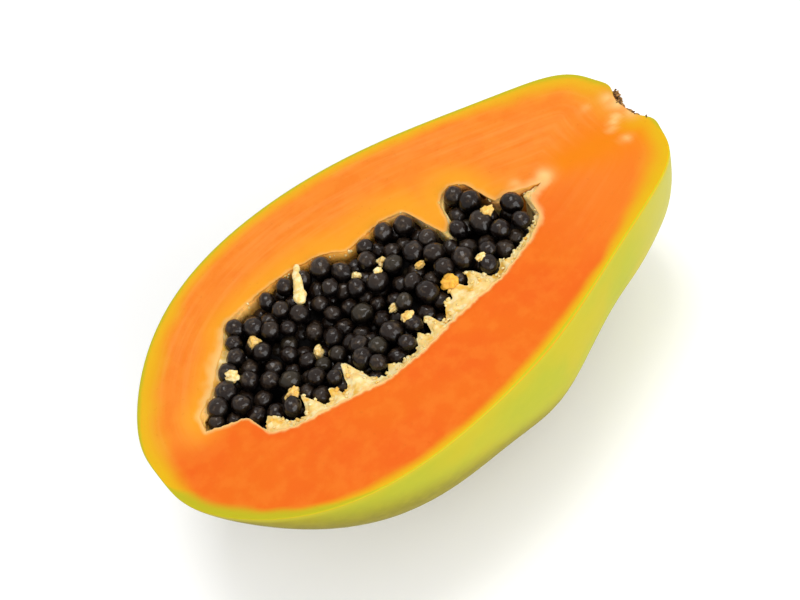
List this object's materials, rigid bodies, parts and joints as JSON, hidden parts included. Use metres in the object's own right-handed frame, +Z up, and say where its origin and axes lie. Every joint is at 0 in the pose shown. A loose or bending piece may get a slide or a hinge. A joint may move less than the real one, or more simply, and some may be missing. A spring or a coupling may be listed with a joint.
{
  "type": "papaya half",
  "caption": "Ripe papaya half cut lengthwise, lying on its yellow-green rind with the orange cut face up; its jagged pale-lined hollow is heaped with round dark seeds.",
  "frame": {"origin": "on the surface the half rests on, under the middle of its bounding box", "axes": "+Z up, square to the level cut face; +X along the fruit from the blossom end to the stem end; -Y is the side nearer the viewer of the picture"},
  "size_m": [0.165, 0.0984, 0.0573],
  "materials": {
    "flesh_and_rind": "moist orange flesh, smooth waxy yellow-green rind",
    "seeds": "wet, wrinkled near-black seed skins with crumbs of yellow pulp"
  },
  "bodies": {
    "root": {"papaya": "flesh_and_rind", "seeds": "seeds"}
  },
  "joints": []
}
